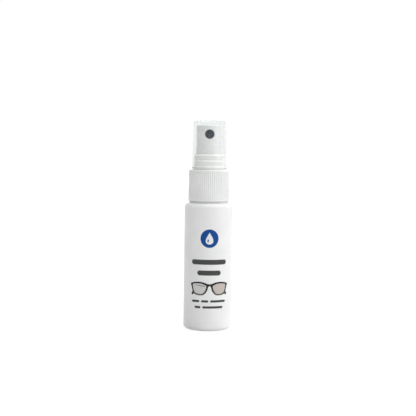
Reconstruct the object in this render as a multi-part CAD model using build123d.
from build123d import *

import math
import os

# A 30 ml lens cleaning spray: a cylindrical blow-moulded bottle, a ribbed screw closure, a finger-operated
# fine-mist pump and a clear overcap.
#
# Millimetres. +Z is up, the origin is the centre of the bottle's base, and the nozzle faces -Y. Everything is
# modelled at rest: closure screwed home, spray head up, overcap on. Nearly every piece is turned about Z, so
# its section is given as (radius, height) corners.

# ---- Driving dimensions ------------------------------------------------------------------------------------
TOTAL_HEIGHT = 115.0
BODY_DIAMETER = 26.5
FIT_GAP = 0.02  # radial gap of a push fit
RUNNING_GAP = 0.05  # radial gap of a sliding fit
END_GAP = 0.2  # gap beyond the end of a pushed-in spigot

# Edge roundings
EDGE_FINE = 0.12
EDGE = 0.2
EDGE_SOFT = 0.3
EDGE_ROUND = 0.5

# Bottle
BOTTLE_R = BODY_DIAMETER / 2
BOTTLE_WALL = 0.9
BASE_WALL = 1.0
BASE_ROUND = 2.2
PUSH_UP_R = 9.0
PUSH_UP = 1.2
PUSH_UP_ROUND = 0.6
SHOULDER_Z = 69.6
SHOULDER_WALL = 1.2
SHOULDER_ROUND = 2.3
SHOULDER_RING_R = 10.75  # low ring on the shoulder, just under the closure's skirt
SHOULDER_RING_TOP_Z = 70.6

# Neck: a 20 mm finish with one and a half turns of thread
NECK_ROOT_R = 8.8
NECK_BORE_R = 6.9
NECK_HEIGHT = 14.0
NECK_BEAD_R = 9.35
NECK_BEAD_HEIGHT = 0.9
NECK_BEAD_LIFT = 1.7
THREAD_CREST_R = 9.8
THREAD_PITCH = 3.175
THREAD_TURNS = 1.5
THREAD_BASE_WIDTH = 1.9
THREAD_CREST_WIDTH = 0.9
THREAD_SINK = 0.2
THREAD_TOP_GAP = 2.2  # neck's top face to the middle of the thread's upper end

# Closure
CLOSURE_Z = 70.8
CLOSURE_TOP_Z = 87.9
CLOSURE_BORE_R = 10.05
CLOSURE_THREAD_R = 9.05
CLOSURE_BOTTOM_R = 11.35
CLOSURE_TOP_R = 11.05
CLOSURE_TOP_WALL = 1.4
CLOSURE_HOLE_R = 9.0
LIP_HEIGHT = 0.9
RIB_COUNT = 64
RIB_HEIGHT = 0.25
RIB_ROUND = 0.36

# Stack clamped between the neck and the closure
GASKET_THICKNESS = 1.0
GASKET_PLAY = 0.2
HOUSING_FLANGE = 0.9
CHAPLET_FLANGE = 1.0

# Chaplet, whose stepped turret guides the spray head and takes the overcap
CHAPLET_FLANGE_R = 9.6
TURRET_TOP_Z = 96.6
TURRET_BORE_R = 7.65
TURRET_STEPS = ((8.74, 90.0), (8.58, 93.2))  # (radius, top) of the two lower rings
TURRET_TOP_R = 8.42
TURRET_ROUND = 0.42  # rounding of each ring's upper edge
TURRET_GROOVE_DEPTH = 0.45
TURRET_GROOVE_HEIGHT = 0.3
CHAPLET_FLOOR_Z = 88.9
CHAPLET_FLOOR = 1.3
CHAPLET_SOCKET_WALL = 0.9
GUIDE_R = 3.0
GUIDE_HEIGHT = 1.2

# Pump housing
BARREL_R = 4.4
BARREL_BORE_R = 3.4
BARREL_Z = 66.2
SPRING_LEDGE_Z = 67.2
HOUSING_FLANGE_R = 8.7
HOUSING_COLLAR_R = 5.0
SEAL_POCKET_R = 3.9
SEAL_THICKNESS = 1.2
BALL_R = 1.5
BALL_CHAMBER_R = 1.95
BALL_LIP_R = 1.4
BALL_LIP = 0.3
BALL_SEAT_Z = 64.0
BALL_SEAT_R = 0.9
BALL_REST_GAP = 0.05
SOCKET_R = 2.6
SOCKET_Z = 56.4
SOCKET_DEPTH = 6.0
SOCKET_CONE_Z = 62.8
VENT_R = 0.3
VENT_Z = 83.15

# Dip tube
TUBE_R = 1.5 - FIT_GAP
TUBE_BORE_R = 0.9
TUBE_END_Z = 2.8
TUBE_CUT_DEG = 35.0

# Stem, piston rod and piston
STEM_R = 1.75
STEM_BORE_R = 0.9
STEM_SOCKET_R = 1.2
STEM_Z = 86.6
STEM_TOP_Z = 103.0
STEM_FLANGE_R = 2.5
STEM_FLANGE = 1.0
ROD_TOP_Z = 91.0
ROD_SHANK_R = 1.4
ROD_HEAD_R = 2.95
ROD_HEAD_Z = 79.2
ROD_HEAD = 1.5
ROD_NOSE_R = 1.75
ROD_NOSE = 3.9
ROD_GROOVE_WIDTH = 0.7
ROD_GROOVE_DEPTH = 0.5
ROD_GROOVE_LIFT = 0.5
PISTON_FLOAT = 0.4  # free play of the piston between the rod's head and the stem
PISTON_HUB_R = 2.2
PISTON_SKIRT_WALL = 0.5
PISTON_WAIST = 0.15
PISTON_TOP_Z = 87.0
PISTON_WEB_Z = 83.2
PISTON_WEB = 1.0
PISTON_LIP = 1.2

# Return spring
SPRING_R = 2.4
SPRING_WIRE_R = 0.275
SPRING_TURNS = 8
SPRING_END_GAP = 0.03

# Spray head
HEAD_Z = 95.6
HEAD_TOP_Z = 112.6
HEAD_BOTTOM_R = 7.4
HEAD_TOP_R = 7.1
HEAD_WALL = 1.0
HEAD_TOP_WALL = 1.5
HEAD_TOP_ROUND = 0.8
DISH_DEPTH = 0.6
DISH_R = 5.6
HEAD_TUBE_R = 2.8
HEAD_TUBE_Z = 96.8
NOZZLE_Z = 107.55
NOZZLE_R = 2.55
NOZZLE_BOSS_R = 3.5
NOZZLE_FACE = 6.5  # distance of the insert's face from the axis
NOZZLE_REAR = 3.2  # distance of the pocket's floor from the axis
NOZZLE_POST_R = 1.5
NOZZLE_BEVEL = 0.25
PASSAGE_R = 0.5
PASSAGE_DROP = 1.95

# Nozzle insert
INSERT_LENGTH = 3.1
INSERT_FRONT_WALL = 0.8
INSERT_CAVITY_R = 1.9
INSERT_RIM = 0.45
INSERT_RECESS = 0.2
INSERT_DISC_R = 1.3
ORIFICE_R = 0.2
ORIFICE_CONE_R = 0.75
ORIFICE_CONE_DEPTH = 0.35
SWIRL_R = 0.7
SWIRL_DEPTH = 0.2
SWIRL_SLOTS = 3
SWIRL_SLOT_WIDTH = 0.3

# Overcap
CAP_REST_GAP = 0.1
CAP_Z = CLOSURE_TOP_Z + CAP_REST_GAP
CAP_BOTTOM_R = 9.65
CAP_TOP_R = 8.95
CAP_WALL = 0.72
CAP_TOP_WALL = 0.8
CAP_TOP_ROUND = 1.2
CAP_INNER_ROUND = 0.7
CAP_BEAD_Z = 89.0
CAP_BEAD_SINK = 0.1
CAP_BEAD_HEIGHT = 1.2
GATE_R = 1.1
GATE_DEPTH = 0.2

# ---- Derived levels ----------------------------------------------------------------------------------------
NECK_TOP_Z = SHOULDER_Z + NECK_HEIGHT
HOUSING_FLANGE_Z = NECK_TOP_Z + GASKET_THICKNESS
CHAPLET_Z = HOUSING_FLANGE_Z + HOUSING_FLANGE
CLOSURE_CEILING_Z = CLOSURE_TOP_Z - CLOSURE_TOP_WALL
THREAD_START_Z = NECK_TOP_Z - THREAD_TOP_GAP - THREAD_PITCH * THREAD_TURNS


# ---- Helpers -----------------------------------------------------------------------------------------------
def section_face(corners):
    """A flat section from (x, y) corners; a third number in a corner is its rounding."""
    face = make_face(Polyline(*[(c[0], c[1]) for c in corners], close=True))
    for corner in corners:
        if len(corner) == 3:
            nearest = face.vertices().sort_by_distance((corner[0], corner[1], 0))[0]
            face = fillet(nearest, corner[2])
    return face


def turned(*corners):
    """A solid of revolution about Z from (radius, height) corners."""
    return revolve(Plane.XZ * section_face(corners), Axis.Z)


def turned_forward(*corners):
    """A solid of revolution about the nozzle's axis from (radius, distance in front of Z) corners."""
    solid = revolve(section_face(corners), Axis.Y)
    return Pos(0, 0, NOZZLE_Z) * Rot(0, 0, 180) * solid


def bar(radius, low_z, high_z):
    """A plain cylinder on Z."""
    return Pos(0, 0, low_z) * Cylinder(radius, high_z - low_z, align=(Align.CENTER, Align.CENTER, Align.MIN))


def thread_ridge(root_r, crest_r, start_z):
    """A right-handed helical ridge. It points outwards where its crest is the larger radius."""
    helix = Helix(
        pitch=THREAD_PITCH, height=THREAD_PITCH * THREAD_TURNS, radius=root_r, center=(0, 0, start_z)
    )
    height = crest_r - root_r
    sink = math.copysign(THREAD_SINK, height)
    half_base, half_crest = THREAD_BASE_WIDTH / 2, THREAD_CREST_WIDTH / 2
    section = make_face(
        Polyline(
            (-sink, -half_base), (height, -half_crest), (height, half_crest), (-sink, half_base), close=True
        )
    )
    start = Plane(origin=helix @ 0, x_dir=(1, 0, 0), z_dir=helix % 0)
    return sweep(start * section, path=helix, is_frenet=True)


# ---- Bottle ------------------------------------------------------------------------------------------------
def bottle():
    inner_r = BOTTLE_R - BOTTLE_WALL
    body = turned(
        (0, PUSH_UP),
        (PUSH_UP_R, 0, PUSH_UP_ROUND),
        (BOTTLE_R, 0, BASE_ROUND),
        (BOTTLE_R, SHOULDER_Z, SHOULDER_ROUND),
        (SHOULDER_RING_R, SHOULDER_Z, EDGE_FINE),
        (SHOULDER_RING_R, SHOULDER_RING_TOP_Z, EDGE_SOFT),
        (NECK_ROOT_R, SHOULDER_RING_TOP_Z, EDGE_SOFT),
        (NECK_ROOT_R, NECK_TOP_Z, EDGE_SOFT),
        (NECK_BORE_R, NECK_TOP_Z, EDGE),
        (NECK_BORE_R, SHOULDER_Z - SHOULDER_WALL, EDGE_ROUND),
        (inner_r, SHOULDER_Z - SHOULDER_WALL, SHOULDER_ROUND - BOTTLE_WALL),
        (inner_r, BASE_WALL, BASE_ROUND - BOTTLE_WALL),
        (PUSH_UP_R, BASE_WALL, PUSH_UP_ROUND),
        (0, PUSH_UP + BASE_WALL),
    )
    bead_z = SHOULDER_Z + NECK_BEAD_LIFT
    bead = turned(
        (NECK_ROOT_R - THREAD_SINK, bead_z),
        (NECK_BEAD_R, bead_z, EDGE),
        (NECK_BEAD_R, bead_z + NECK_BEAD_HEIGHT, EDGE_SOFT),
        (NECK_ROOT_R - THREAD_SINK, bead_z + NECK_BEAD_HEIGHT),
    )
    return body + bead + thread_ridge(NECK_ROOT_R, THREAD_CREST_R, THREAD_START_Z)


# ---- Closure and what it clamps ----------------------------------------------------------------------------
def closure_ribs():
    """Upright grip ribs, leaning in with the closure's taper."""
    low_z, high_z = CLOSURE_Z + LIP_HEIGHT / 2, CLOSURE_TOP_Z - LIP_HEIGHT / 2
    lean = math.atan2(CLOSURE_BOTTOM_R - CLOSURE_TOP_R, high_z - low_z)
    rib = Cylinder(RIB_ROUND, (high_z - low_z) / math.cos(lean))
    middle_r = (CLOSURE_BOTTOM_R + CLOSURE_TOP_R) / 2 - RIB_ROUND
    placed = Pos(middle_r, 0, (low_z + high_z) / 2) * Rot(0, -math.degrees(lean), 0) * rib
    return [place * placed for place in PolarLocations(0, RIB_COUNT)]


def closure():
    shell = turned(
        (CLOSURE_BORE_R, CLOSURE_Z),
        (CLOSURE_BOTTOM_R, CLOSURE_Z, EDGE_SOFT),
        (CLOSURE_BOTTOM_R, CLOSURE_Z + LIP_HEIGHT, EDGE_FINE),
        (CLOSURE_BOTTOM_R - RIB_HEIGHT, CLOSURE_Z + LIP_HEIGHT),
        (CLOSURE_TOP_R - RIB_HEIGHT, CLOSURE_TOP_Z - LIP_HEIGHT),
        (CLOSURE_TOP_R, CLOSURE_TOP_Z - LIP_HEIGHT),
        (CLOSURE_TOP_R, CLOSURE_TOP_Z, EDGE_ROUND),
        (CLOSURE_HOLE_R, CLOSURE_TOP_Z, EDGE_FINE),
        (CLOSURE_HOLE_R, CLOSURE_CEILING_Z),
        (CLOSURE_BORE_R, CLOSURE_CEILING_Z),
    )
    ridge = thread_ridge(CLOSURE_BORE_R, CLOSURE_THREAD_R, THREAD_START_Z - THREAD_PITCH / 2)
    return shell + ridge + closure_ribs()


def neck_gasket():
    inner_r = BARREL_R + GASKET_PLAY
    return turned(
        (inner_r, NECK_TOP_Z),
        (HOUSING_FLANGE_R, NECK_TOP_Z),
        (HOUSING_FLANGE_R, HOUSING_FLANGE_Z),
        (inner_r, HOUSING_FLANGE_Z),
    )


def chaplet():
    """Clamps the pump housing, guides the stem, and carries the stepped turret."""
    floor_top_z = CHAPLET_FLOOR_Z + CHAPLET_FLOOR
    socket_r = HOUSING_COLLAR_R + FIT_GAP
    stem_hole_r = STEM_R + RUNNING_GAP
    rings = []
    upper_radii = [step[0] for step in TURRET_STEPS[1:]] + [TURRET_TOP_R]
    for (radius, top_z), upper_r in zip(TURRET_STEPS, upper_radii):
        groove_r = radius - TURRET_GROOVE_DEPTH
        groove_top_z = top_z + TURRET_GROOVE_HEIGHT
        rings += [
            (radius, top_z, TURRET_ROUND),
            (groove_r, top_z),
            (groove_r, groove_top_z),
            (upper_r, groove_top_z, EDGE_FINE),
        ]
    return turned(
        (socket_r, CHAPLET_Z),
        (socket_r + CHAPLET_SOCKET_WALL, CHAPLET_Z),
        (socket_r + CHAPLET_SOCKET_WALL, CHAPLET_FLOOR_Z),
        (TURRET_BORE_R, CHAPLET_FLOOR_Z),
        (TURRET_BORE_R, CHAPLET_Z),
        (CHAPLET_FLANGE_R, CHAPLET_Z),
        (CHAPLET_FLANGE_R, CHAPLET_Z + CHAPLET_FLANGE),
        (TURRET_STEPS[0][0], CHAPLET_Z + CHAPLET_FLANGE),
        *rings,
        (TURRET_TOP_R, TURRET_TOP_Z, TURRET_ROUND),
        (TURRET_BORE_R, TURRET_TOP_Z, EDGE_FINE),
        (TURRET_BORE_R, floor_top_z, EDGE_SOFT),
        (GUIDE_R, floor_top_z, EDGE),
        (GUIDE_R, floor_top_z + GUIDE_HEIGHT, EDGE_SOFT),
        (stem_hole_r, floor_top_z + GUIDE_HEIGHT, EDGE_FINE),
        (stem_hole_r, CHAPLET_FLOOR_Z),
        (socket_r, CHAPLET_FLOOR_Z),
    )


def pump_housing():
    """Pump barrel, with the ball valve's seat and the dip tube's socket below it."""
    tube_bore_r = TUBE_R + FIT_GAP
    socket_top_z = SOCKET_Z + SOCKET_DEPTH
    seat_rise = BALL_CHAMBER_R - BALL_SEAT_R
    body = turned(
        (tube_bore_r, SOCKET_Z),
        (SOCKET_R, SOCKET_Z, EDGE_SOFT),
        (SOCKET_R, SOCKET_CONE_Z),
        (BARREL_R, BARREL_Z, EDGE_ROUND),
        (BARREL_R, HOUSING_FLANGE_Z),
        (HOUSING_FLANGE_R, HOUSING_FLANGE_Z),
        (HOUSING_FLANGE_R, CHAPLET_Z),
        (HOUSING_COLLAR_R, CHAPLET_Z),
        (HOUSING_COLLAR_R, CHAPLET_FLOOR_Z, EDGE),
        (SEAL_POCKET_R, CHAPLET_FLOOR_Z),
        (SEAL_POCKET_R, CHAPLET_FLOOR_Z - SEAL_THICKNESS),
        (BARREL_BORE_R, CHAPLET_FLOOR_Z - SEAL_THICKNESS),
        (BARREL_BORE_R, SPRING_LEDGE_Z),
        (BALL_LIP_R, SPRING_LEDGE_Z),
        (BALL_LIP_R, SPRING_LEDGE_Z - BALL_LIP),
        (BALL_CHAMBER_R, SPRING_LEDGE_Z - BALL_LIP),
        (BALL_CHAMBER_R, BALL_SEAT_Z + seat_rise),
        (BALL_SEAT_R, BALL_SEAT_Z),
        (BALL_SEAT_R, socket_top_z),
        (tube_bore_r, socket_top_z),
    )
    vent = Pos(0, 0, VENT_Z) * Rot(0, 90, 0) * bar(VENT_R, 0, HOUSING_COLLAR_R)
    return body - vent


def stem_seal():
    low_z = CHAPLET_FLOOR_Z - SEAL_THICKNESS
    inner_r, outer_r = STEM_R + RUNNING_GAP, SEAL_POCKET_R - FIT_GAP
    return turned(
        (inner_r, low_z, EDGE), (outer_r, low_z), (outer_r, CHAPLET_FLOOR_Z), (inner_r, CHAPLET_FLOOR_Z)
    )


def dip_tube():
    """Straight tube, its lower end cut at a slant so that it cannot seal against the base."""
    top_z = SOCKET_Z + SOCKET_DEPTH
    tube = bar(TUBE_R, TUBE_END_Z, top_z) - bar(TUBE_BORE_R, TUBE_END_Z, top_z)
    side = 6 * TUBE_R
    knife = Box(side, side, side, align=(Align.CENTER, Align.CENTER, Align.MAX))
    return tube - Pos(-TUBE_R, 0, TUBE_END_Z) * Rot(0, -TUBE_CUT_DEG, 0) * knife


def check_ball():
    """Rests on the 45 degree seat of the housing. Its poles lie level, clear of the seat."""
    apex_z = BALL_SEAT_Z - BALL_SEAT_R
    centre_z = apex_z + (BALL_R + BALL_REST_GAP) * math.sqrt(2)
    return Pos(0, 0, centre_z) * Rot(90, 0, 0) * Sphere(BALL_R)


# ---- What moves inside the pump ----------------------------------------------------------------------------
def return_spring():
    """Compression spring with ground ends, between the barrel's ledge and the rod's head."""
    low_z, high_z = SPRING_LEDGE_Z + SPRING_END_GAP, ROD_HEAD_Z - SPRING_END_GAP
    height = high_z - low_z
    helix = Helix(pitch=height / SPRING_TURNS, height=height, radius=SPRING_R, center=(0, 0, low_z))
    start = Plane(origin=helix @ 0, x_dir=(1, 0, 0), z_dir=helix % 0)
    coil = sweep(start * Circle(SPRING_WIRE_R), path=helix, is_frenet=True)
    return coil & bar(SPRING_R + 2 * SPRING_WIRE_R, low_z, high_z)


def piston_rod():
    """Valve rod: its head seals the piston from below, its spigot is pushed into the stem."""
    spigot_r = STEM_SOCKET_R - FIT_GAP
    head_top_z = ROD_HEAD_Z + ROD_HEAD
    rod = turned(
        (0, ROD_HEAD_Z - ROD_NOSE),
        (ROD_NOSE_R, ROD_HEAD_Z - ROD_NOSE, EDGE_ROUND),
        (ROD_NOSE_R, ROD_HEAD_Z),
        (ROD_HEAD_R, ROD_HEAD_Z),
        (ROD_HEAD_R, head_top_z, EDGE),
        (ROD_SHANK_R, head_top_z),
        (ROD_SHANK_R, STEM_Z),
        (spigot_r, STEM_Z),
        (spigot_r, ROD_TOP_Z, EDGE_SOFT),
        (0, ROD_TOP_Z),
    )
    groove_z = head_top_z + ROD_GROOVE_LIFT
    groove = Box(
        ROD_SHANK_R, ROD_GROOVE_WIDTH, ROD_TOP_Z - groove_z, align=(Align.MIN, Align.CENTER, Align.MIN)
    )
    for side in (0, 180):
        rod -= Rot(0, 0, side) * Pos(spigot_r - ROD_GROOVE_DEPTH, 0, groove_z) * groove
    return rod


def piston():
    """Soft piston with a sealing lip at each end, floating between the rod's head and the stem's flange."""
    hub_bore_r = ROD_SHANK_R + RUNNING_GAP
    lip_r = BARREL_BORE_R - RUNNING_GAP
    waist_r = lip_r - PISTON_WAIST
    skirt_r = lip_r - PISTON_SKIRT_WALL
    low_z = ROD_HEAD_Z + ROD_HEAD + RUNNING_GAP
    hub_top_z = STEM_Z - PISTON_FLOAT - RUNNING_GAP
    return turned(
        (hub_bore_r, low_z),
        (PISTON_HUB_R, low_z),
        (PISTON_HUB_R, PISTON_WEB_Z),
        (skirt_r, PISTON_WEB_Z),
        (skirt_r, low_z),
        (lip_r, low_z),
        (lip_r, low_z + PISTON_LIP / 2),
        (waist_r, low_z + PISTON_LIP),
        (waist_r, PISTON_TOP_Z - PISTON_LIP),
        (lip_r, PISTON_TOP_Z - PISTON_LIP / 2),
        (lip_r, PISTON_TOP_Z),
        (skirt_r, PISTON_TOP_Z),
        (skirt_r, PISTON_WEB_Z + PISTON_WEB),
        (PISTON_HUB_R, PISTON_WEB_Z + PISTON_WEB),
        (PISTON_HUB_R, hub_top_z),
        (hub_bore_r, hub_top_z),
    )


def stem():
    socket_top_z = ROD_TOP_Z + END_GAP
    return turned(
        (STEM_SOCKET_R, STEM_Z),
        (STEM_FLANGE_R, STEM_Z),
        (STEM_FLANGE_R, STEM_Z + STEM_FLANGE, EDGE),
        (STEM_R, STEM_Z + STEM_FLANGE),
        (STEM_R, STEM_TOP_Z, EDGE),
        (STEM_BORE_R, STEM_TOP_Z),
        (STEM_BORE_R, socket_top_z),
        (STEM_SOCKET_R, socket_top_z),
    )


# ---- Spray head --------------------------------------------------------------------------------------------
def actuator():
    """Hollow finger button with the stem's socket, the liquid passage and the nozzle's pocket and post."""
    envelope = turned(
        (0, HEAD_Z), (HEAD_BOTTOM_R, HEAD_Z), (HEAD_TOP_R, HEAD_TOP_Z, HEAD_TOP_ROUND), (0, HEAD_TOP_Z)
    )
    hollow = turned(
        (0, HEAD_Z),
        (HEAD_BOTTOM_R - HEAD_WALL, HEAD_Z),
        (HEAD_TOP_R - HEAD_WALL, HEAD_TOP_Z - HEAD_TOP_WALL, HEAD_TOP_ROUND),
        (0, HEAD_TOP_Z - HEAD_TOP_WALL),
    )
    dish_sphere_r = (DISH_R**2 + DISH_DEPTH**2) / (2 * DISH_DEPTH)
    dish = Pos(0, 0, HEAD_TOP_Z + dish_sphere_r - DISH_DEPTH) * Sphere(dish_sphere_r)
    core = bar(HEAD_TUBE_R, HEAD_TUBE_Z, HEAD_TOP_Z - HEAD_TOP_WALL / 2)
    boss = turned_forward((0, 0), (NOZZLE_BOSS_R, 0), (NOZZLE_BOSS_R, HEAD_TOP_R), (0, HEAD_TOP_R))
    solid = envelope - hollow + core + (boss & envelope) - dish

    pocket = turned_forward(
        (NOZZLE_POST_R, NOZZLE_REAR),
        (NOZZLE_R, NOZZLE_REAR),
        (NOZZLE_R, NOZZLE_FACE),
        (NOZZLE_R + NOZZLE_BEVEL, NOZZLE_FACE + NOZZLE_BEVEL),
        (NOZZLE_R + NOZZLE_BEVEL, HEAD_BOTTOM_R),
        (0, HEAD_BOTTOM_R),
        (0, NOZZLE_FACE - INSERT_FRONT_WALL - FIT_GAP),
        (NOZZLE_POST_R, NOZZLE_FACE - INSERT_FRONT_WALL - FIT_GAP),
    )
    passage_z = NOZZLE_Z - PASSAGE_DROP
    passage = Pos(0, 0, passage_z) * Rot(90, 0, 0) * bar(PASSAGE_R, 0, NOZZLE_REAR + END_GAP)
    socket = bar(STEM_R + FIT_GAP, HEAD_Z, STEM_TOP_Z + END_GAP)
    channel = bar(STEM_BORE_R, HEAD_Z, passage_z + PASSAGE_R)
    return solid - pocket - passage - socket - channel


def nozzle_insert():
    """Swirl cup pushed over the post. The orifice is in its face, the swirl chamber behind it."""
    outer_r = NOZZLE_R - FIT_GAP
    rear, front = NOZZLE_FACE - INSERT_LENGTH, NOZZLE_FACE
    wall = front - INSERT_FRONT_WALL
    cup = turned_forward(
        (INSERT_CAVITY_R, rear),
        (outer_r, rear),
        (outer_r, front, EDGE_FINE),
        (outer_r - INSERT_RIM, front, EDGE_FINE),
        (outer_r - INSERT_RIM, front - INSERT_RECESS),
        (INSERT_DISC_R, front - INSERT_RECESS),
        (INSERT_DISC_R, front, EDGE_FINE),
        (ORIFICE_CONE_R, front),
        (ORIFICE_R, front - ORIFICE_CONE_DEPTH),
        (ORIFICE_R, wall + SWIRL_DEPTH),
        (SWIRL_R, wall + SWIRL_DEPTH),
        (SWIRL_R, wall),
        (INSERT_CAVITY_R, wall),
    )
    slot = Box(
        SWIRL_SLOT_WIDTH, SWIRL_DEPTH, INSERT_CAVITY_R - EDGE_FINE, align=(Align.MIN, Align.MAX, Align.MIN)
    )
    for n in range(SWIRL_SLOTS):
        tangential = Pos(SWIRL_R - SWIRL_SLOT_WIDTH, -wall, 0) * slot
        cup -= Pos(0, 0, NOZZLE_Z) * Rot(0, 360 * n / SWIRL_SLOTS, 0) * tangential
    return cup


# ---- Overcap -----------------------------------------------------------------------------------------------
def overcap():
    """Thin tapered cup whose rim stands over the closure and whose bead grips the turret's lowest ring."""
    taper = (CAP_BOTTOM_R - CAP_TOP_R) / (TOTAL_HEIGHT - CAP_Z)
    inner_top_z = TOTAL_HEIGHT - CAP_TOP_WALL

    def inner_r(z):
        return CAP_BOTTOM_R - CAP_WALL - taper * (z - CAP_Z)

    cup = turned(
        (inner_r(CAP_Z), CAP_Z, EDGE_FINE),
        (CAP_BOTTOM_R, CAP_Z, EDGE),
        (CAP_TOP_R, TOTAL_HEIGHT, CAP_TOP_ROUND),
        (0, TOTAL_HEIGHT),
        (0, inner_top_z),
        (inner_r(inner_top_z), inner_top_z, CAP_INNER_ROUND),
    )
    bead_low, bead_high = CAP_BEAD_Z - CAP_BEAD_HEIGHT / 2, CAP_BEAD_Z + CAP_BEAD_HEIGHT / 2
    bead = turned(
        (inner_r(bead_low) + CAP_BEAD_SINK, bead_low),
        (TURRET_STEPS[0][0] + RUNNING_GAP, CAP_BEAD_Z),
        (inner_r(bead_high) + CAP_BEAD_SINK, bead_high),
    )
    gate = bar(GATE_R, TOTAL_HEIGHT - GATE_DEPTH, TOTAL_HEIGHT)
    return cup + bead - gate


# ---- Export ------------------------------------------------------------------------------------------------
PIECES = (
    bottle,
    closure,
    neck_gasket,
    chaplet,
    pump_housing,
    stem_seal,
    dip_tube,
    check_ball,
    return_spring,
    piston_rod,
    piston,
    stem,
    actuator,
    nozzle_insert,
    overcap,
)

os.makedirs("parts", exist_ok=True)
for piece in PIECES:
    export_step(piece(), f"parts/{piece.__name__}.step")
